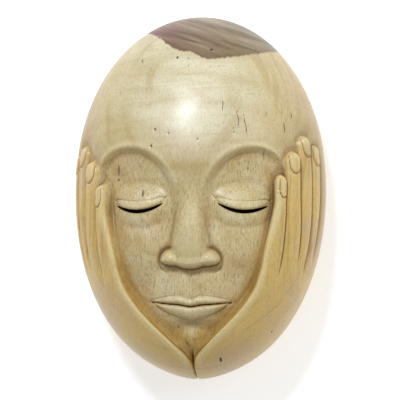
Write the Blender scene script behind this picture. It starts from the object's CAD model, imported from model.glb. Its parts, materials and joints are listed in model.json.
import json
import math

import bmesh
import bpy
import numpy as np
from mathutils import Matrix, Vector, noise


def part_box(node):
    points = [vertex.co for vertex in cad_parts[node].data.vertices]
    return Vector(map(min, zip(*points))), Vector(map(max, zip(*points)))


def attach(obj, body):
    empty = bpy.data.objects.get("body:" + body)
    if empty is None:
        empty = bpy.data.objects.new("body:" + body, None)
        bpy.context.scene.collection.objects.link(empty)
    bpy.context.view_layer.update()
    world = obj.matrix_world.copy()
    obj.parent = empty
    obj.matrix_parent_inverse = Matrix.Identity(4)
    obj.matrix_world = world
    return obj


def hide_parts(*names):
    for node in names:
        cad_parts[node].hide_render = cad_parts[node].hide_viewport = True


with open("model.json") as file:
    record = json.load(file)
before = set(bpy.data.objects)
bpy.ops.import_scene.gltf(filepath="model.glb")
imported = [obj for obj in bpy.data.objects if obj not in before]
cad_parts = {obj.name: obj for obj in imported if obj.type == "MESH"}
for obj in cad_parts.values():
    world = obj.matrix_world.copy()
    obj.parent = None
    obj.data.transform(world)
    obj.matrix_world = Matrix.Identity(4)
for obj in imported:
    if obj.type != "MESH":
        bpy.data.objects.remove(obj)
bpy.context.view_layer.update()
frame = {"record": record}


# Camera
# It looks down on the mask, which lies on its back, from a little to the right of straight
# above. The long lens keeps the egg's outline free of near-far distortion.
CAMERA_DISTANCE = 1.3
CAMERA_YAW_DEG = 7.0
VIEW_WIDTH = 0.2778
SENSOR_WIDTH = 36.0
# The camera aims at a place this share of the mask's length below its middle, and this share
# of its depth above the floor
AIM_BELOW = 0.0084
AIM_UP = 0.296

mask_low, mask_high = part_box("carved_mask")
mask_size = mask_high - mask_low
look_at = Vector((0, -AIM_BELOW * mask_size.y, AIM_UP * mask_size.z))
yaw = math.radians(CAMERA_YAW_DEG)
camera = bpy.data.objects.new("camera", bpy.data.cameras.new("camera"))
bpy.context.scene.collection.objects.link(camera)
camera.data.sensor_width = SENSOR_WIDTH
camera.data.lens = SENSOR_WIDTH * CAMERA_DISTANCE / VIEW_WIDTH
camera.location = look_at + Vector((math.sin(yaw), 0, math.cos(yaw))) * CAMERA_DISTANCE
camera.rotation_euler = (0, yaw, 0)
bpy.context.scene.camera = camera


# The egg block
# One block of pale, close-grained wood, turned and rasped to an egg that leans a little, with
# its chin end forward, and sawn flat behind. Its sizes come from the solid it stands for, whose
# box is a little shorter and wider than the egg because of the lean and the swell of the crown.
EGG_LENGTH = 1.00297 * mask_size.y
EGG_WIDTH = 0.99576 * mask_size.x
EGG_FRONT = 0.69015 * mask_size.z
EGG_BACK = 0.96402 * mask_size.z
BACK_DROP = 0.29578 * mask_size.z
LEAN_DEG = 6.0
PROFILE_FULLNESS = 2.4
CROWN_SWELL = 0.055
CHIN_POINT = 0.20
CHIN_POINT_POWER = 16

HALF_WIDTH = EGG_WIDTH / 2
HALF_LENGTH = EGG_LENGTH / 2
UNIT = EGG_LENGTH / 252
RELIEF = EGG_FRONT / 63


def egg(ball, inset):
    """Points of a unit ball on the egg, or on a smaller egg that lies inset within it."""
    along = ball[:, 1]
    circle = np.sqrt(np.maximum(1 - along**2, 1e-9))
    swell = 1 + CROWN_SWELL / 2 * (along + np.sqrt(along**2 + 0.02))
    point = CHIN_POINT * np.maximum(-along, 0) ** CHIN_POINT_POWER
    fuller = np.sqrt(np.maximum(1 - np.abs(along) ** PROFILE_FULLNESS, 0)) / circle
    depth = np.where(ball[:, 2] > 0, EGG_FRONT - inset, EGG_BACK - inset)
    return np.column_stack(
        (
            (HALF_WIDTH - inset) * ball[:, 0] * (swell - point),
            (HALF_LENGTH - inset) * along,
            depth * ball[:, 2] * fuller,
        )
    )


def turned(points):
    """The egg leans, with its chin end forward."""
    return points @ np.array(Matrix.Rotation(math.radians(LEAN_DEG), 3, "X"))


def lay_down(points):
    """Points of the egg's own frame, leaned and raised above the flat back."""
    return turned(points) + np.array([0.0, 0.0, BACK_DROP])


# The face
# Carved out of the block between the hands and left matt from the chisel: closed lids over
# narrow slits, a straight nose, a closed mouth. The head is five eye widths across, the eye
# line halfway down it, and the nose base halfway from brow to chin.
EYE = EGG_WIDTH / 5
EYE_LINE = -3 * UNIT
BROW_LINE = 20 * UNIT
CHIN_LINE = -118 * UNIT
NOSE_BASE = (BROW_LINE + CHIN_LINE) / 2
MOUTH_LINE = NOSE_BASE + (CHIN_LINE - NOSE_BASE) / 3
# Height down the face, and there the depth of the nose's ridge in millimetres; then the
# nose's half width in eye widths
NOSE_RIDGE = (
    (-60, 1.6),
    (-46, 0.5),
    (-38, 0.4),
    (-28, 1.5),
    (-14, 3.4),
    (0, 4.8),
    (12, 4.3),
    (24, 3.0),
    (60, 12.0),
)
NOSE_HALF_WIDTH = (
    (-48, 0.47),
    (-38, 0.46),
    (-26, 0.40),
    (-12, 0.36),
    (2, 0.36),
    (14, 0.44),
    (26, 0.80),
    (38, 1.80),
)


def soft_step(start, end, value):
    """0 before start, 1 after end, and a smooth ramp between."""
    t = np.clip((value - start) / (end - start), 0, 1)
    return t * t * (3 - 2 * t)


def mound(across, along, power=2.0):
    """A round swelling: 1 in the middle, 0 where the two shares reach a circle of 1."""
    return np.maximum(1 - across**2 - along**2, 0) ** power


def smaller(a, b, blend):
    """The smaller of two depths, with the seam between them rounded over."""
    share = np.clip(0.5 + (b - a) / (2 * blend), 0, 1)
    return b + (a - b) * share - blend * share * (1 - share)


def crease(distance, width):
    """A narrow cut: 1 on the line, 0 a few widths away."""
    return np.exp(-((distance / width) ** 2))


def through(points, place):
    """A smooth curve through (place, size) points, level beyond its ends."""
    places, sizes = np.array(points, dtype=float).T
    slopes = np.gradient(sizes, places)
    place = np.clip(place, places[0], places[-1])
    i = np.clip(np.searchsorted(places, place) - 1, 0, len(places) - 2)
    span = places[i + 1] - places[i]
    t = (place - places[i]) / span
    rise = sizes[i] + (sizes[i + 1] - sizes[i]) * t * t * (3 - 2 * t)
    return rise + span * t * (1 - t) * ((1 - t) * slopes[i] - t * slopes[i + 1])


def slit_line(across):
    """Height of the closed eye's line, where across is the distance from the middle."""
    share = (across - EYE) / (EYE / 2)
    return EYE_LINE - 5.2 * UNIT * np.maximum(1 - share**2, -0.4) - 1.0 * UNIT * share


def mouth_line(across):
    """Height of the line between the lips."""
    share = across / (0.78 * EYE)
    dip = 1.1 * UNIT * crease(across, 0.16 * EYE)
    return MOUTH_LINE + 1.4 * UNIT * share**2 - dip


def nose_depth(x, y):
    """Depth of the bridge, tip and wings of the nose below the egg."""
    ridge = through(NOSE_RIDGE, y / UNIT)
    half = through(NOSE_HALF_WIDTH, y / UNIT) * EYE
    bridge = ridge + 11 * (x / half) ** 2.2
    wing_across = (x - 0.365 * EYE) / (0.235 * EYE)
    wing_along = (y + 42.5 * UNIT) / (8.4 * UNIT)
    wing = 1.6 + 9.0 * np.hypot(wing_across, wing_along) ** 2.8
    form = smaller(bridge, wing, 1.8)
    base = NOSE_BASE + 2.2 * UNIT * soft_step(0, 0.5 * EYE, x)
    under = soft_step(base + 5.0 * UNIT, base - 3.0 * UNIT, y)
    return form + 15 * under


def lips(x, y):
    """How far the lips stand out of the face, with the line between them cut in."""
    line = mouth_line(x)
    reach = np.maximum(1 - (x / (0.80 * EYE)) ** 2, 0)
    bow = 1.5 * crease(x, 0.11 * EYE)
    upper = (6.9 * reach**0.75 - bow + 0.01) * UNIT
    lower = (9.3 * np.maximum(1 - (x / (0.72 * EYE)) ** 2, 0) ** 0.8 + 0.01) * UNIT
    up = np.clip((y - line) / upper, 0, 1)
    down = np.clip((line - y) / lower, 0, 1)
    upper_lip = 2.7 * np.sin(math.pi * up**0.75) ** 0.8 * reach**0.4
    lower_lip = 3.6 * np.sin(math.pi * down**0.7) ** 0.9 * reach**0.4
    swell = np.where(y > line, upper_lip, lower_lip)
    cut = 1.9 * crease(y - line, 0.9 * UNIT) * soft_step(0, 0.12, reach)
    corner = 0.9 * mound((x - 0.79 * EYE) / (0.10 * EYE), (y - line) / (3.6 * UNIT))
    return swell - cut - corner


def eyelids(x, y):
    """The closed lids over the eyeball: how far they stand out of the socket."""
    share = (x - EYE) / (EYE / 2)
    eyeball = 7.2 * mound((x - EYE) / (0.66 * EYE), (y - EYE_LINE + 2 * UNIT) / (16 * UNIT), 1.4)
    opening = np.maximum(1 - share**2, 0)
    line = slit_line(x)
    fold = line + (1.2 + 4.6 * opening**0.5) * UNIT
    fold_reach = soft_step(1.22, 1.0, np.abs(share))
    fold_cut = 0.9 * crease(y - fold, 0.75 * UNIT) * fold_reach
    margin = 0.8 * opening**0.5 * soft_step(0, 1.0 * UNIT, y - line)
    margin *= soft_step(1.5 * UNIT, 0, y - fold)
    below = line - y
    under = 1.5 * opening**0.5 * soft_step(-0.5 * UNIT, 1.2 * UNIT, below)
    under *= soft_step(10 * UNIT, 2 * UNIT, below)
    return eyeball + margin - fold_cut - under


def face_depth(x, y):
    """Depth of the face below the egg, before the hands cover its sides."""
    out = (x - 1.2 * EYE) / (0.96 * EYE)
    up = np.maximum(y - EYE_LINE, 0) / (37 * UNIT)
    socket = np.hypot(out, up)
    brow_edge = soft_step(1.03, 0.86, socket)
    brow_bowl = soft_step(1.0, 0.35, socket)
    above = 5.4 * brow_edge + 5.0 * brow_bowl
    below = soft_step(38 * UNIT, -16 * UNIT, y) ** 1.6
    floor = above + (10.6 - above) * below
    floor = floor - 3.4 * soft_step(-92 * UNIT, -114 * UNIT, y)
    cheek = 4.6 * mound((x - 1.15 * EYE) / (0.85 * EYE), (y + 33 * UNIT) / (30 * UNIT), 1.6)
    muzzle = 4.2 * mound(x / (1.0 * EYE), (y + 70 * UNIT) / (27 * UNIT), 1.3)
    furrow = 2.6 * mound(x / (0.62 * EYE), (y + 86.5 * UNIT) / (8.5 * UNIT))
    chin = 4.2 * mound(x / (0.52 * EYE), (y + 99 * UNIT) / (15 * UNIT))
    philtrum = 1.0 * crease(x, 0.075 * EYE) * soft_step(-66 * UNIT, -60 * UNIT, y)
    philtrum *= soft_step(-50 * UNIT, -54 * UNIT, y)
    skin = floor - cheek - muzzle + furrow - chin + philtrum - lips(x, y) - eyelids(x, y)
    face = smaller(skin, nose_depth(x, y), 1.4)
    wing = np.hypot((x - 0.365 * EYE) / (0.25 * EYE), (y + 42.5 * UNIT) / (9.0 * UNIT))
    wing_side = soft_step(0.22 * EYE, 0.42 * EYE, x) * soft_step(-53 * UNIT, -47 * UNIT, y)
    return face + 1.0 * crease(wing - 1.0, 0.11) * wing_side


# The hands
# Low relief in the same block: they grow out of the egg below, meet in a seam under the chin
# and run up the cheeks. Each finger has a nail and is parted from the next by a fine groove.
FINGER_EDGES_DEG = (40.8, 47.6, 57.6, 67.4, 77.4)
FINGER_TIPS = (14.5 * UNIT, 31 * UNIT, 42 * UNIT, 36 * UNIT)
FINGER_ENDS = (-52 * UNIT, -43 * UNIT, -47 * UNIT, -40 * UNIT)
# How far each nail sits off its finger's middle, as a share of the finger's half width
NAIL_SHIFTS = (0.42, 0.12, 0.24, 0.20)
LEFT_HAND_DROP = 6.5 * UNIT
LEFT_HAND_TURN_DEG = 3.0
FINGERTIP_STRETCH = 1.15
# The fingers' lower ends spread outwards, the ones near the middle of the hand the most
FINGER_FAN_DEG = 4.0
FAN_MIDDLE_DEG = 60
FAN_SPREAD_DEG = 11
# Depths and widths in millimetres of a full-size egg
GROOVE_DEPTH = 2.4
PALM_EDGE_DEPTH = 3.4
FINGER_WALL = 3.0
PALM_WALL = 7.0
LEFT_WALL_EXTRA = 2.0
SEAM_DEPTH = 1.6
NAIL_RISE = 0.45
NAIL_CUT = 0.75
NAIL_LENGTH = 6.6
NAIL_SETBACK = 8.2
KNUCKLE_CREASE_DEPTH = 0.45
# The nail's half width as a share of its finger's
NAIL_SHARE = 0.74
# Height along the mask, and the angle round the egg of the hand's inner edge there,
# from the seam under the chin to the little finger
HAND_EDGE = (
    (-128, 0.0),
    (-116, 0.0),
    (-110, 2.6),
    (-103, 8.6),
    (-94, 15.8),
    (-84, 23.6),
    (-73, 30.4),
    (-62, 34.8),
    (-50, 36.4),
    (-35, 36.9),
    (-20, 38.6),
    (-6, 40.5),
    (60, 40.8),
)
# Heights of the two short creases at the right little finger's last joint
KNUCKLE_CREASES = (4.8 * UNIT, 2.4 * UNIT)


def nail(across, height, tip, half):
    """A finger nail: its plate stands out of the finger inside a U-shaped cut."""
    below = np.minimum(height - tip + NAIL_SETBACK * UNIT, 0)
    reach = np.hypot(across / (NAIL_SHARE * half), below / (NAIL_LENGTH * UNIT))
    open_end = soft_step(tip - 0.5 * UNIT, tip - 3.0 * UNIT, height)
    plate = NAIL_RISE * soft_step(1.0, 0.86, reach)
    return (plate - NAIL_CUT * crease(reach - 1.08, 0.10)) * open_end


def hand_depth(angle, y, per_degree):
    """Depth of the hand below the egg, the gap to the hand from beside it, and how
    deep the hand's rounded outline goes."""
    inner_edge = through(HAND_EDGE, y / UNIT)
    slope = (through(HAND_EDGE, y / UNIT + 0.5) - through(HAND_EDGE, y / UNIT - 0.5)) / UNIT
    palm_gap = (inner_edge - angle) * per_degree / np.sqrt(1 + (slope * per_degree) ** 2)
    palm_edge = GROOVE_DEPTH + (PALM_EDGE_DEPTH - GROOVE_DEPTH) * soft_step(0, -50 * UNIT, y)
    palm_edge *= 0.25 + 0.75 * soft_step(-120 * UNIT, -104 * UNIT, y)
    depth = np.zeros_like(y)
    gap = np.full_like(y, 1.0)
    outline = np.full_like(y, GROOVE_DEPTH)
    inner_edge_depth = palm_edge
    for finger, (tip, end) in enumerate(zip(FINGER_TIPS, FINGER_ENDS)):
        middle = (FINGER_EDGES_DEG[finger] + FINGER_EDGES_DEG[finger + 1]) / 2
        half = (FINGER_EDGES_DEG[finger + 1] - FINGER_EDGES_DEG[finger]) / 2 * per_degree
        across = (angle - middle) * per_degree
        cap = np.maximum(y - tip + half * FINGERTIP_STRETCH, 0) / FINGERTIP_STRETCH
        off = np.hypot(across, cap) - half
        if finger == 0:
            near_palm = soft_step(4 * UNIT, -10 * UNIT, y) * (across < 0)
            off = off + (palm_gap - off) * near_palm
        outer_edge_depth = GROOVE_DEPTH * soft_step(end - 12 * UNIT, end + 14 * UNIT, y)
        edge_depth = np.where(across < 0, inner_edge_depth, outer_edge_depth)
        share = np.clip(1 + off / half, 0, 1)
        rounding = edge_depth * share**4
        plate = nail(across - NAIL_SHIFTS[finger] * half, y, tip, half)
        form = rounding - plate * soft_step(0, -0.15 * half, off)
        nearest = off < gap
        depth = np.where(nearest, form, depth)
        outline = np.where(nearest, edge_depth, outline)
        gap = np.minimum(gap, off)
        inner_edge_depth = outer_edge_depth
    return depth, gap, outline


# Flaws of the wood
# Pin knots, small pits and short drying checks that run with the grain, open and dark. Each
# place is in millimetres across and up the mask from its middle.
FLAW_DEPTH = 0.0005
# Shares of a flaw's half size between which its edge fades, from outside to full
PIT_EDGE = (1.25, 0.8)
CHECK_EDGE = (1.25, 0.5)
# How far a check strays from its line in millimetres, and how often along it
CHECK_WANDER = 0.25
CHECK_BENDS = 0.9
# Across, up, half width, half length and darkness
PITS = (
    (-10.9, 94.2, 0.75, 0.95, 1.0),
    (-35.8, 92.3, 0.50, 1.30, 0.7),
    (-3.2, 93.4, 0.45, 1.20, 0.5),
    (-2.9, 88.7, 0.45, 1.00, 0.5),
    (-29.0, 86.4, 0.45, 1.60, 0.4),
    (17.7, 87.9, 0.60, 0.60, 0.5),
    (11.8, 99.5, 1.10, 1.00, 0.8),
    (-50.0, 70.3, 0.60, 1.30, 0.3),
    (-23.6, 45.0, 0.85, 1.10, 0.8),
    (-14.3, 42.4, 0.60, 0.80, 0.6),
    (28.9, 45.8, 0.50, 0.70, 0.7),
    (29.3, 43.0, 0.60, 0.60, 0.7),
    (5.6, 38.4, 0.60, 0.55, 0.8),
    (-26.0, 33.8, 0.80, 1.10, 0.8),
    (-50.3, 17.8, 1.00, 3.60, 0.6),
    (-50.6, 11.4, 1.00, 1.10, 0.6),
    (-32.0, 2.2, 0.90, 2.40, 0.7),
    (37.9, 18.9, 0.35, 1.50, 0.7),
    (18.6, -109.4, 0.90, 1.60, 1.0),
    (-9.1, -87.5, 0.60, 0.60, 0.8),
    (52.3, -91.1, 0.60, 0.90, 0.6),
)
# The two ends of each check, and its half width
CHECKS = (
    ((21.1, 68.0), (21.7, 51.5), 0.22),
    ((30.7, 59.3), (32.7, 45.2), 0.28),
    ((35.0, 55.6), (37.9, 42.0), 0.26),
    ((59.5, 58.4), (59.9, 53.0), 0.28),
    ((61.4, 50.0), (61.6, 42.5), 0.24),
    ((65.2, 57.8), (65.7, 53.2), 0.32),
    ((49.8, 57.0), (49.9, 53.8), 0.20),
    ((48.6, 33.2), (48.3, 25.0), 0.22),
    ((-5.0, -96.8), (-1.2, -101.2), 0.36),
)


def flaws(x, y):
    """How much of a pit or a check there is at a place, from 0 to 1."""
    across, up = x * 1000, y * 1000
    found = np.zeros_like(across)
    for place_x, place_y, half_width, half_length, darkness in PITS:
        apart = np.hypot((across - place_x) / half_width, (up - place_y) / half_length)
        found = np.maximum(found, darkness * soft_step(*PIT_EDGE, apart))
    for (x0, y0), (x1, y1), half_width in CHECKS:
        run = np.clip((up - y0) / (y1 - y0), 0, 1)
        taper = np.sqrt(np.maximum(np.minimum(run, 1 - run), 0) * 2 + 0.05)
        wander = CHECK_WANDER * np.sin(up * CHECK_BENDS + x0)
        apart = np.hypot(across - x0 - (x1 - x0) * run - wander, up - y0 - (y1 - y0) * run)
        found = np.maximum(found, soft_step(*CHECK_EDGE, apart / (half_width * taper)))
    return found


# The carved front
# Everything in front of the sawn back is cut into the egg block: nothing stands proud of it.
# The hands and dome were sanded and waxed, and the field between them is left from the tools.
CUBE_CUTS = 71
REFINE_LEVELS = 2
REFINE_TOLERANCE = 0.000036
# How deep the block is cut away beside the hands, near the face and at its sides, and how far
# from the hands, in millimetres of a full-size egg
RECESS_DEPTHS = (5.5, 1.5)
RECESS_REACHES = (7.0, 3.0)


def relief(ball):
    """Depth of the carving below the egg, and the gap to the nearest hand."""
    bare = lay_down(egg(ball, 0.0))
    x = np.abs(bare[:, 0])
    y = bare[:, 1]
    turn = np.arctan2(np.abs(ball[:, 0]), ball[:, 2])
    angle = np.degrees(turn)
    girth = np.sqrt(np.maximum(1 - ball[:, 1] ** 2, 1e-9))
    per_degree = np.hypot(HALF_WIDTH * np.cos(turn), EGG_FRONT * np.sin(turn)) * math.radians(1)
    per_degree *= girth
    left = bare[:, 0] < 0
    dropped = y + LEFT_HAND_DROP * soft_step(-70 * UNIT, 0, y) * left
    hand_angle = angle - LEFT_HAND_TURN_DEG * soft_step(-119 * UNIT, -109 * UNIT, y) * left
    fan = crease(angle - FAN_MIDDLE_DEG, FAN_SPREAD_DEG) * soft_step(8 * UNIT, -45 * UNIT, y)
    hand_angle = hand_angle - FINGER_FAN_DEG * fan

    hand, gap, outline = hand_depth(hand_angle, dropped, per_degree)
    beside = np.maximum(gap, 0)
    first, last = FINGER_EDGES_DEG[0], FINGER_EDGES_DEG[-1]
    far = soft_step(first + 12, last, angle)
    reach = (RECESS_REACHES[0] + (RECESS_REACHES[1] - RECESS_REACHES[0]) * far) * UNIT
    cut = RECESS_DEPTHS[0] + (RECESS_DEPTHS[1] - RECESS_DEPTHS[0]) * far
    recess = cut * np.exp(-beside / reach) * outline / GROOVE_DEPTH
    recess *= soft_step(62 * UNIT, 40 * UNIT, y)
    face = face_depth(x, y) * soft_step(first + 26, first + 14, angle)
    ground = np.maximum(face, recess)
    wall_run = FINGER_WALL + (PALM_WALL - FINGER_WALL) * soft_step(-30 * UNIT, -80 * UNIT, y)
    wall_run = wall_run + LEFT_WALL_EXTRA * soft_step(0, 12 * UNIT, -bare[:, 0])
    wall = 1 - (1 - np.clip(beside / (wall_run * UNIT), 0, 1)) ** 2.2
    outside = outline + (ground - outline) * wall
    depth = np.where(gap > 0, outside, hand)
    seam = SEAM_DEPTH * crease(x, 0.9 * UNIT) * soft_step(-108 * UNIT, -114 * UNIT, y)
    inner_side = soft_step(first + 4.2, first + 3.0, angle) * (gap < 0) * (bare[:, 0] > 0)
    for height in KNUCKLE_CREASES:
        seam = seam + KNUCKLE_CREASE_DEPTH * crease(y - height, 0.5 * UNIT) * inner_side
    return (depth + seam) * RELIEF * soft_step(-0.45, -0.2, ball[:, 2]), gap


def carve(ball):
    """Points of a unit ball on the carved mask, as it lies on its back."""
    bare = lay_down(egg(ball, 0.0))
    depth, gap = relief(ball)
    depth = depth + FLAW_DEPTH * flaws(bare[:, 0], bare[:, 1]) * (ball[:, 2] > 0)
    outward = turned(egg(ball, 0.0) / np.array([HALF_WIDTH**2, HALF_LENGTH**2, EGG_FRONT**2]))
    outward /= np.linalg.norm(outward, axis=1)[:, None]
    angle = np.degrees(np.arctan2(np.abs(ball[:, 0]), ball[:, 2]))
    low_end = soft_step(-92 * UNIT, -114 * UNIT, bare[:, 1])
    sideways = np.maximum(soft_step(30, 55, angle), low_end)[:, None]
    direction = np.array([0.0, 0.0, 1.0]) * (1 - sideways) + outward * sideways
    direction /= np.linalg.norm(direction, axis=1)[:, None]
    return bare - direction * depth[:, None]


def to_ball(cube):
    """Points of a cube on the unit ball, spread evenly."""
    ball = np.tan(cube * math.pi / 4)
    return ball / np.linalg.norm(ball, axis=-1, keepdims=True)


def places_of(bm):
    """The places of a bmesh's points as an array."""
    return np.array([vertex.co for vertex in bm.verts])


def mark(bm, ball, name="block"):
    """Keeps each point's place on the unit ball with it, for the finish to read later."""
    layer = bm.verts.layers.float_vector.new(name)
    for vertex, place in zip(bm.verts, ball):
        vertex[layer] = place


# How far the two edges of the sawn rim are rounded, and the rings of points that do it
EDGE_ROUND = 0.0012
EDGE_RINGS = (EDGE_ROUND, 0.6 * EDGE_ROUND, 0.28 * EDGE_ROUND, 0.07 * EDGE_ROUND, 0)


def saw_off_back(bm):
    """Cuts a shell off at the plane of the back, with a few rings just in front of it."""
    for height in EDGE_RINGS:
        everything = bm.verts[:] + bm.edges[:] + bm.faces[:]
        bmesh.ops.bisect_plane(
            bm, geom=everything, plane_co=(0, 0, height), plane_no=(0, 0, 1), clear_inner=height == 0
        )


def ease_edge(bm, outward):
    """Rounds the edge where a shell meets the back: outward is 1 for the hollow's wall."""
    for vertex in bm.verts:
        if vertex.co.z < EDGE_ROUND:
            drop = min(EDGE_ROUND - vertex.co.z, EDGE_ROUND)
            inset = EDGE_ROUND - math.sqrt(EDGE_ROUND**2 - drop**2)
            away = Vector((vertex.co.x / HALF_WIDTH**2, vertex.co.y / HALF_LENGTH**2, 0)).normalized()
            vertex.co += away * inset * outward


front = bmesh.new()
bmesh.ops.create_cube(front, size=2)
bmesh.ops.subdivide_edges(front, edges=front.edges[:], cuts=CUBE_CUTS, use_grid_fill=True)
heights = carve(to_ball(places_of(front)))[:, 2]
BACK_MARGIN = 0.004
behind = [vertex for vertex, height in zip(front.verts, heights) if height < -BACK_MARGIN]
bmesh.ops.delete(front, geom=behind, context="VERTS")
for level in range(REFINE_LEVELS):
    quads = [face for face in front.faces if len(face.verts) == 4]
    corners = np.array([[vertex.co for vertex in face.verts] for face in quads])
    sides = (corners + np.roll(corners, 1, axis=1)) / 2
    middle = corners.mean(axis=1)
    carved_corners = carve(to_ball(corners).reshape(-1, 3)).reshape(-1, 4, 3)
    carved_sides = carve(to_ball(sides).reshape(-1, 3)).reshape(-1, 4, 3)
    carved_middle = carve(to_ball(middle))
    side_miss = carved_sides - (carved_corners + np.roll(carved_corners, 1, axis=1)) / 2
    miss = np.linalg.norm(side_miss, axis=2).max(axis=1)
    miss = np.maximum(miss, np.linalg.norm(carved_middle - carved_corners.mean(axis=1), axis=1))
    coarse = [face for face, far in zip(quads, miss) if far > REFINE_TOLERANCE]
    coarse_corners = {vertex for face in coarse for vertex in face.verts}
    near = [face for face in quads if coarse_corners.intersection(face.verts)]
    finer = dict.fromkeys(edge for face in near for edge in face.edges)
    bmesh.ops.subdivide_edges(front, edges=list(finer), cuts=1, use_grid_fill=True)
ball = to_ball(places_of(front))
mark(front, ball)
for vertex, place in zip(front.verts, carve(ball)):
    vertex.co = place
saw_off_back(front)
ease_edge(front, -1)


# The hollow
# Scooped out from behind with a gouge, whose long shallow cuts still show. Its wall is even
# at the rim and thicker behind the face, where the carving in front goes deepest.
WALL = 0.012
HOLLOW_RISE = 0.0095
HOLLOW_CUTS = 50
GOUGE_WIDTH = 0.010
GOUGE_LENGTH = 0.024
GOUGE_RIDGE = 0.0009


def scoop(ball):
    """Points of a unit ball on the hollow, which stays shallower behind the face."""
    bare = lay_down(egg(ball, WALL))
    across = bare[:, 0] / (0.86 * HALF_WIDTH)
    along = (bare[:, 1] + 18 * UNIT) / (0.84 * HALF_LENGTH)
    bare[:, 2] -= HOLLOW_RISE * mound(across, along, 1.0) * (ball[:, 2] > 0)
    return bare


def gouge_ridges(places):
    """Height of the ridges that are left between one gouge cut and the next."""
    cut_size = Vector((GOUGE_WIDTH, GOUGE_LENGTH, GOUGE_WIDTH))
    nearest = [noise.voronoi([a / b for a, b in zip(place, cut_size)])[0][0] for place in places]
    return GOUGE_RIDGE * np.minimum(np.array(nearest), 1) ** 2


back = bmesh.new()
bmesh.ops.create_cube(back, size=2)
bmesh.ops.subdivide_edges(back, edges=back.edges[:], cuts=HOLLOW_CUTS, use_grid_fill=True)
ball = to_ball(places_of(back))
mark(back, 2 * ball)
scooped = scoop(ball)
inward = np.array([0, 0, BACK_DROP]) - scooped
inward /= np.linalg.norm(inward, axis=1)[:, None]
scooped += inward * gouge_ridges(scooped)[:, None]
for vertex, place in zip(back.verts, scooped):
    vertex.co = place
saw_off_back(back)
ease_edge(back, 1)
back_mesh = bpy.data.meshes.new("hollow")
back.to_mesh(back_mesh)
back.free()


# The rim
# The flat that the saw left between the egg's outside and the hollow, on which the mask lies
# or hangs. It closes the shell, so that the whole block is one skin with a true wall.
front.from_mesh(back_mesh)
bpy.data.meshes.remove(back_mesh)
open_edges = [edge for edge in front.edges if edge.is_boundary]
bmesh.ops.triangle_fill(front, edges=open_edges, use_beauty=True, normal=(0, 0, -1))
bmesh.ops.remove_doubles(front, verts=front.verts[:], dist=0.000005)
bmesh.ops.recalc_face_normals(front, faces=front.faces[:])
for face in front.faces:
    face.smooth = True
mask_mesh = bpy.data.meshes.new("wooden_mask")
front.to_mesh(mask_mesh)
front.free()
wooden_mask = bpy.data.objects.new("wooden_mask", mask_mesh)
bpy.context.scene.collection.objects.link(wooden_mask)


# The eye slits and the hanging notch
# Sawn right through under each lid with a fine blade, so that the wearer's side shows dark
# through them, and a square notch chopped inside the top of the rim for a nail or a hook.
SLIT_HEIGHT = 0.0026
SLIT_LENGTH = 0.0327
SLIT_STEPS = 40
NOTCH_WIDTH = 0.014
NOTCH_HEIGHT = 0.007
NOTCH_DEPTH = 0.011

cuts = bmesh.new()
for side in (-1, 1):
    shares = np.linspace(-1, 1, SLIT_STEPS + 1)
    across = EYE + shares * SLIT_LENGTH / 2
    half = SLIT_HEIGHT / 2 * np.sqrt(np.maximum(1 - shares**2, 0)) ** 0.8
    middle = slit_line(across) - 0.6 * SLIT_HEIGHT
    upper = [(side * a, h + t, BACK_DROP) for a, h, t in zip(across, middle, half)]
    lower = [(side * a, h - t, BACK_DROP) for a, h, t in zip(across, middle, half)][1:-1]
    blade = cuts.faces.new([cuts.verts.new(place) for place in upper + lower[::-1]])
    grown = bmesh.ops.extrude_face_region(cuts, geom=[blade])["geom"]
    far_end = [item for item in grown if isinstance(item, bmesh.types.BMVert)]
    bmesh.ops.translate(cuts, vec=(0, 0, 1.1 * EGG_FRONT), verts=far_end)
notch_mount = next(m for m in frame["record"]["mounts"] if m["name"] == "hanging_notch")
notch_roof = notch_mount["pos_m"][1]
notch = bmesh.ops.create_cube(cuts, size=1)["verts"]
bmesh.ops.scale(cuts, vec=(NOTCH_WIDTH, 3 * NOTCH_HEIGHT, 2 * NOTCH_DEPTH), verts=notch)
bmesh.ops.translate(cuts, vec=(0, notch_roof - 1.5 * NOTCH_HEIGHT, 0), verts=notch)
bmesh.ops.recalc_face_normals(cuts, faces=cuts.faces[:])
cut_mesh = bpy.data.meshes.new("cuts")
cuts.to_mesh(cut_mesh)
cuts.free()
cutter = bpy.data.objects.new("cuts", cut_mesh)
bpy.context.scene.collection.objects.link(cutter)
sawing = wooden_mask.modifiers.new("sawing", "BOOLEAN")
sawing.operation = "DIFFERENCE"
sawing.solver = "EXACT"
sawing.object = cutter
depsgraph = bpy.context.evaluated_depsgraph_get()
wooden_mask.data = bpy.data.meshes.new_from_object(wooden_mask.evaluated_get(depsgraph))
wooden_mask.modifiers.clear()
bpy.data.objects.remove(cutter)
bpy.data.meshes.remove(mask_mesh)
wooden_mask.data.set_sharp_from_angle(angle=math.radians(48))


# What the finish follows
# Wax and dust gather in the cuts and wear off the ridges, the carver's hands polished the dome
# and the fingers, and the crown reaches into the tree's dark heart. Each is kept on the points.
# Across and up the mask, in millimetres: the lower edge of the heartwood
HEART_EDGE = (
    (-60, 124),
    (-38, 114.5),
    (-25, 108.8),
    (-15.4, 101.5),
    (-9, 99),
    (0.9, 97.0),
    (5, 94.6),
    (21, 94.0),
    (43, 97.8),
    (60, 102),
    (90, 110),
)
# The rings that a place's depth is set against, and how far below a ring's mean a place lies
# where the wax and dust are thickest
NARROW_RING = 0.0009
NARROW_FULL = 0.00036
WIDE_RING = 0.0060
WIDE_FULL = 0.0024
RING_POINTS = 8
# How far from the hands the wax and dust reach over the face, and twice as far at the chin;
# then how much of it lies on the upper face against the lower
GRIME_REACH = 0.017
UPPER_GRIME = 0.12
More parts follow.
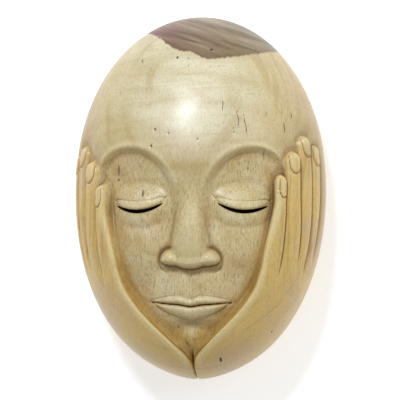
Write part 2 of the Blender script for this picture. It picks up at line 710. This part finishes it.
# Heights along the mask, from where each of these starts to where it is full
LOWER_FACE = (0.030, -0.080)
CHIN = (-0.080, -0.100)
BELOW_FOREHEAD = (0.055, 0.040)
PALMS = (-0.020, -0.060)
FINGERS = (-0.080, -0.030)
CLEAN_SEAM = (-0.106, -0.115)
# How much of its dark line the low end of the seam has lost
SEAM_WEAR = 0.6
# Angles round the egg: where the palm turns into the mask's side, and where its polish ends
PALM_SIDE_DEG = (56, 74)
SIDE_POLISH_DEG = (74, 112)
SIDE_WEAR = 0.7
# Depth of carving from which the face is left matt, and the soft edges of the hands and of
# the face, as gaps to the hand
MATT_DEPTH = (0.0002, 0.0055)
HAND_BORDER = (0.0006, -0.0002)
FACE_BORDER = (0, 0.001)

block = np.zeros(len(wooden_mask.data.vertices) * 3, np.float32)
wooden_mask.data.attributes["block"].data.foreach_get("vector", block)
block = block.reshape(-1, 3).astype(float)
reach = np.linalg.norm(block, axis=1)
sawn = reach < 0.5
inside = reach > 1.5
ball = np.where(sawn[:, None], np.array([0.0, 0.0, 1.0]), block / np.maximum(reach, 0.5)[:, None])
places = np.zeros(len(block) * 3, np.float32)
wooden_mask.data.vertices.foreach_get("co", places)
places = places.reshape(-1, 3)
height = places[:, 1]


def ring_mean(ball, radius):
    """Mean depth of the carving on a ring of that radius round each point."""
    side = np.cross(ball, [0.0, 1.0, 0.0]) + 1e-9
    side /= np.linalg.norm(side, axis=1)[:, None]
    up = np.cross(side, ball)
    total = np.zeros(len(ball))
    for turn in np.arange(RING_POINTS) * 2 * math.pi / RING_POINTS:
        step = side * math.cos(turn) + up * math.sin(turn)
        stretch = np.linalg.norm(step * [HALF_WIDTH, HALF_LENGTH, EGG_FRONT], axis=1)
        around = ball + step * (radius / stretch)[:, None]
        around /= np.linalg.norm(around, axis=1)[:, None]
        total += relief(around)[0]
    return total / RING_POINTS


depth, gap = relief(ball)
outside = ~(sawn | inside)
stain = np.clip((depth - ring_mean(ball, NARROW_RING)) / NARROW_FULL, -1, 1) * outside
stain *= 1 - SEAM_WEAR * soft_step(*CLEAN_SEAM, height)
hollowness = np.clip((depth - ring_mean(ball, WIDE_RING)) / WIDE_FULL, -1, 1) * outside
hand = soft_step(*HAND_BORDER, gap) * outside
angle = np.degrees(np.arctan2(np.abs(ball[:, 0]), ball[:, 2]))
outer_palm = soft_step(*PALMS, height) * soft_step(*PALM_SIDE_DEG, angle) * outside
grime_reach = GRIME_REACH * (1 + soft_step(*CHIN, height))
grime = soft_step(grime_reach, 0, gap) * (1 - hand) * (1 - outer_palm) * outside
grime *= UPPER_GRIME + (1 - UPPER_GRIME) * soft_step(*LOWER_FACE, height)
grime *= soft_step(*BELOW_FOREHEAD, height)
side_polish = 1 - SIDE_WEAR * soft_step(*SIDE_POLISH_DEG, angle)
hand = hand * (1 - outer_palm) + side_polish * outer_palm
finger = hand * soft_step(*FINGERS, height)
field = soft_step(*MATT_DEPTH, depth) * soft_step(*FACE_BORDER, gap) * outside
flaw = flaws(places[:, 0], height) * outside
heart = height * 1000 - through(HEART_EDGE, places[:, 0] * 1000)
for name, values in (
    ("stain", stain),
    ("hollowness", hollowness),
    ("grime", grime),
    ("hand", hand),
    ("finger", finger),
    ("field", field),
    ("flaw", flaw),
    ("heart", heart),
    ("inside", inside | sawn),
):
    kept = wooden_mask.data.attributes.new(name, "FLOAT", "POINT")
    kept.data.foreach_set("value", values.astype(np.float32))


# Pale wood
# Crocodile wood: pale, close-grained, sanded and waxed. It is cream on the dome, honey on
# the handled fingers and greyer where the tools left it matt, with short dark pores along the
# grain, and a purple-brown heart with rusty streaks that cuts off at a crisp edge.


def linear(hex_colour):
    """An sRGB hex colour as linear red, green, blue and alpha."""
    parts = [int(hex_colour[i : i + 2], 16) / 255 for i in (1, 3, 5)]
    return [c / 12.92 if c <= 0.04045 else ((c + 0.055) / 1.055) ** 2.4 for c in parts] + [1.0]


def add(tree, kind, settings, links, output=0):
    """Adds a node with its settings, and its sockets linked or set, and gives its output."""
    made = tree.nodes.new(kind)
    for name, value in settings.items():
        setattr(made, name, value)
    for socket, value in links.items():
        if isinstance(value, bpy.types.NodeSocket):
            tree.links.new(value, made.inputs[socket])
        else:
            made.inputs[socket].default_value = value
    return made.outputs[output]


# Lumps of colour and grain: their size across the mask, along it and into it in millimetres,
# how many finer sizes they hold, and how far they lean about X and about Z. The growth layers
# lie almost flat in the block, so the carving cuts them into rings and bands. The finest real
# fibres are under 0.1 mm and wouldn't show, so they are drawn as coarse as they need to be.
PATTERNS = {
    "cloud": (75, 19, 40, 3, 15, 7),
    "blush": (42, 34, 40, 2, 25, 38),
    "layers": (90, 70, 5.5, 3, 24, 9),
    "streak": (2.2, 60, 9, 3, 0, 2),
    "band": (60, 3.4, 26, 4, 12, -4),
    "fibre": (0.85, 4.5, 0.85, 2, 0, 0),
    "stipple": (0.9, 1.3, 0.9, 1, 0, 0),
    "pore": (0.6, 3.4, 0.6, 0, 0, 0),
    "heart_grain": (34, 3.0, 60, 5, 0, 19),
    "heart_cloud": (26, 14, 45, 2, 0, 19),
    "ragged": (2.4, 8, 9, 4, 0, 0),
    "worn": (16, 16, 16, 3, 0, 0),
    "patch": (17, 27, 11, 3, 20, -24),
}

wood = bpy.data.materials.new("waxed_pale_wood")
wood.use_nodes = True
tree = wood.node_tree
shader = tree.nodes["Principled BSDF"]
coords = add(tree, "ShaderNodeTexCoord", {}, {}, "Object")
seen = {}
for name in ("stain", "hollowness", "grime", "hand", "finger", "field", "flaw", "heart", "inside"):
    seen[name] = add(tree, "ShaderNodeAttribute", {"attribute_name": name}, {}, "Fac")
for name, (across_mm, along_mm, into_mm, detail, lean_x, lean_z) in PATTERNS.items():
    lean = (math.radians(lean_x), 0, math.radians(lean_z))
    leaned = add(tree, "ShaderNodeMapping", {}, {"Vector": coords, "Rotation": lean})
    per_metre = (1000 / across_mm, 1000 / along_mm, 1000 / into_mm)
    stretched = add(tree, "ShaderNodeMapping", {}, {"Vector": leaned, "Scale": per_metre})
    lumps = {"Vector": stretched, "Scale": 1.0, "Detail": detail, "Roughness": 0.55}
    seen[name] = add(tree, "ShaderNodeTexNoise", {}, lumps, 0)
seen["across"] = add(tree, "ShaderNodeSeparateXYZ", {}, {"Vector": coords}, "X")
seen["side"] = add(tree, "ShaderNodeMath", {"operation": "ABSOLUTE"}, {0: seen["across"]})
seen["height"] = add(tree, "ShaderNodeSeparateXYZ", {}, {"Vector": coords}, "Y")
# The heart's edge wanders by this many millimetres
HEART_WANDER = 3.6
wander = {0: seen["ragged"], 1: HEART_WANDER, 2: seen["heart"]}
seen["heart_side"] = add(tree, "ShaderNodeMath", {"operation": "MULTIPLY_ADD"}, wander)
# How strongly each kind of mark shows on the first and on the second kind of surface: the
# waxed dome and hands against the matt face, and the dome against the hands
for name, where, first, second in (
    ("fibre_share", "field", 0.20, 0.44),
    ("stipple_share", "field", 0.15, 0.32),
    ("pore_share", "field", 0.14, 0.26),
    ("fibre_relief", "field", 0.15, 0.80),
    ("roughness", "field", 0.34, 0.46),
    ("streak_share", "finger", 0.05, 0.48),
    ("band_share", "hand", 0.30, 0.10),
    ("patch_share", "field", 0.10, 0.50),
    ("grime_share", "ragged", 0.25, 1.35),
    ("blush_share", "field", 0.44, 0.22),
):
    limits = {"Value": seen[where], "To Min": first, "To Max": second}
    seen[name] = add(tree, "ShaderNodeMapRange", {}, limits)


def tinted(ground, coats):
    """A colour with thin coats laid over it: each follows a mark, from start to end, and its
    amount is a number or the name of another mark."""
    for what, start, end, amount, tint in coats:
        limits = {"Value": seen[what], "From Min": start, "From Max": end}
        limits["To Max"] = seen.get(amount, amount)
        share = add(tree, "ShaderNodeMapRange", {"interpolation_type": "SMOOTHSTEP"}, limits)
        tint = linear(tint) if isinstance(tint, str) else tint
        ground = add(tree, "ShaderNodeMix", {"data_type": "RGBA"}, {0: share, 6: ground, 7: tint}, 2)
    return ground


pale = tinted(
    linear("#E6DCB8"),
    (
        ("cloud", 0.42, 0.62, 0.50, "#CDBB8B"),
        ("layers", 0.50, 0.66, 0.35, "#C8B27F"),
        ("band", 0.50, 0.68, "band_share", "#BDA36E"),
        ("side", 0.014, 0.068, 0.62, "#CAAE6E"),
        ("side", 0.060, 0.082, 0.58, "#B8935F"),
        ("height", 0.055, 0.016, 0.64, "#BC9D5E"),
        ("height", 0.020, -0.115, 0.48, "#C8AE82"),
        ("field", 0.0, 1.0, 0.60, "#DBC791"),
        ("patch", 0.52, 0.64, "patch_share", "#E4D7AE"),
        ("patch", 0.46, 0.34, "patch_share", "#BC9A5C"),
        ("hand", 0.0, 1.0, 0.66, "#E3BF69"),
        ("blush", 0.53, 0.66, "blush_share", "#CDAD88"),
        ("blush", 0.47, 0.32, "blush_share", "#C0B27E"),
        ("layers", 0.54, 0.70, 0.30, "#B0955A"),
        ("streak", 0.48, 0.64, "streak_share", "#B08238"),
        ("hollowness", -0.08, -0.8, 0.42, "#F2E2AE"),
        ("grime", 0.0, 1.0, "grime_share", "#BA9032"),
        ("height", -0.080, -0.122, 0.20, "#8A6E42"),
        ("hollowness", 0.10, 1.0, 0.48, "#8E6522"),
        ("fibre", 0.48, 0.72, "fibre_share", "#7A5A2B"),
        ("stipple", 0.56, 0.72, "stipple_share", "#7A5A2B"),
        ("pore", 0.60, 0.80, "pore_share", "#654720"),
    ),
)
heart = tinted(
    linear("#8C7458"),
    (
        ("heart_cloud", 0.42, 0.60, 0.9, "#8E7C5D"),
        ("across", 0.006, 0.036, 0.70, "#877A4F"),
        ("across", 0.002, -0.030, 0.92, "#743D28"),
        ("heart_grain", 0.48, 0.66, 0.66, "#5E3928"),
        ("heart_grain", 0.46, 0.32, 0.50, "#B79F84"),
        ("heart_side", 7.0, 1.5, 0.35, "#6A4236"),
        ("fibre", 0.50, 0.75, 0.30, "#5B4232"),
    ),
)
colour = tinted(
    pale,
    (
        ("heart_side", -5.0, 1.5, 0.14, "#B58D6C"),
        ("heart_side", 0.9, 2.6, 1.0, heart),
        ("inside", 0.0, 1.0, 0.8, "#A98A5B"),
        ("stain", 0.15, 1.0, 0.72, "#633A14"),
        ("flaw", 0.0, 1.05, 0.95, "#2E1606"),
    ),
)
tree.links.new(colour, shader.inputs["Base Color"])
# Handling has made the gloss uneven by this much roughness
WORN_ROUGHNESS = 0.10
worn = {0: seen["worn"], 1: WORN_ROUGHNESS, 2: seen["roughness"]}
worn = add(tree, "ShaderNodeMath", {"operation": "MULTIPLY_ADD"}, worn)
tree.links.new(worn, shader.inputs["Roughness"])
FIBRE_DEPTH = 0.00006
raised = {"Height": seen["fibre"], "Distance": FIBRE_DEPTH, "Strength": seen["fibre_relief"]}
tree.links.new(add(tree, "ShaderNodeBump", {}, raised), shader.inputs["Normal"])
shader.inputs["IOR"].default_value = 1.48
shader.inputs["Coat Weight"].default_value = 0.19
shader.inputs["Coat Roughness"].default_value = 0.24

wooden_mask.data.materials.clear()
wooden_mask.data.materials.append(wood)
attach(wooden_mask, "root")
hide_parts("carved_mask")


# Floor and lights
# A white sheet on a light table under the mask, a broad soft light above its crown, a weak
# one at its right and an even pale sky, as for a catalogue picture.
PAPER_GLOW = 0.45
SHEET_REACH = 3.0
SHEET_LEVEL = -0.0003
floor_bm = bmesh.new()
bmesh.ops.create_grid(floor_bm, x_segments=1, y_segments=1, size=SHEET_REACH)
bmesh.ops.translate(floor_bm, vec=(0, 0, SHEET_LEVEL), verts=floor_bm.verts)
floor_mesh = bpy.data.meshes.new("floor")
floor_bm.to_mesh(floor_mesh)
floor_bm.free()
floor = bpy.data.objects.new("floor", floor_mesh)
bpy.context.scene.collection.objects.link(floor)
paper = bpy.data.materials.new("white_paper")
paper.use_nodes = True
lit_paper = paper.node_tree.nodes["Principled BSDF"].inputs
lit_paper["Base Color"].default_value = linear("#F7F7F6")
lit_paper["Roughness"].default_value = 0.9
lit_paper["Emission Color"].default_value = linear("#FFFFFF")
lit_paper["Emission Strength"].default_value = PAPER_GLOW
floor_mesh.materials.append(paper)

# A dark card lies under the hollow, so that no light comes up through the eye slits.
CARD_SIZE = (0.068, 0.102)
CARD_LEVEL = -0.0002
card_bm = bmesh.new()
bmesh.ops.create_circle(card_bm, cap_ends=True, segments=48, radius=1)
bmesh.ops.scale(card_bm, vec=(*CARD_SIZE, 1), verts=card_bm.verts)
bmesh.ops.translate(card_bm, vec=(0, 0, CARD_LEVEL), verts=card_bm.verts)
card_mesh = bpy.data.meshes.new("dark_card")
card_bm.to_mesh(card_mesh)
card_bm.free()
card = bpy.data.objects.new("dark_card", card_mesh)
bpy.context.scene.collection.objects.link(card)
dark_paper = bpy.data.materials.new("dark_paper")
dark_paper.use_nodes = True
card_surface = dark_paper.node_tree.nodes["Principled BSDF"].inputs
card_surface["Base Color"].default_value = linear("#54473A")
card_surface["Roughness"].default_value = 0.9
card_mesh.materials.append(dark_paper)

SKY_STRENGTH = 0.42
LIGHT_DISTANCE = 1.4
LIT_LEVEL = 0.06
# Each light's direction from the mask, its size, its power and its colour
LIGHTS = (
    ("crown_softbox", (-0.16, 0.60, 0.78), (0.33, 0.22), 11.6, "#E8F1FF"),
    ("side_softbox", (0.75, 0.30, 0.60), (0.90, 0.90), 3.1, "#FFFFFF"),
)
for name, direction, size, power, tint in LIGHTS:
    light = bpy.data.objects.new(name, bpy.data.lights.new(name, "AREA"))
    bpy.context.scene.collection.objects.link(light)
    toward = Vector(direction).normalized()
    light.data.shape = "ELLIPSE"
    light.data.size, light.data.size_y = size
    light.data.energy = power
    light.data.color = linear(tint)[:3]
    light.location = Vector((0, 0, LIT_LEVEL)) + toward * LIGHT_DISTANCE
    light.rotation_euler = toward.to_track_quat("Z", "Y").to_euler()
sky = bpy.data.worlds.new("pale_sky")
sky.use_nodes = True
sky.node_tree.nodes["Background"].inputs["Color"].default_value = (1, 1, 1, 1)
sky.node_tree.nodes["Background"].inputs["Strength"].default_value = SKY_STRENGTH
bpy.context.scene.world = sky
bpy.context.scene.view_settings.view_transform = "Standard"
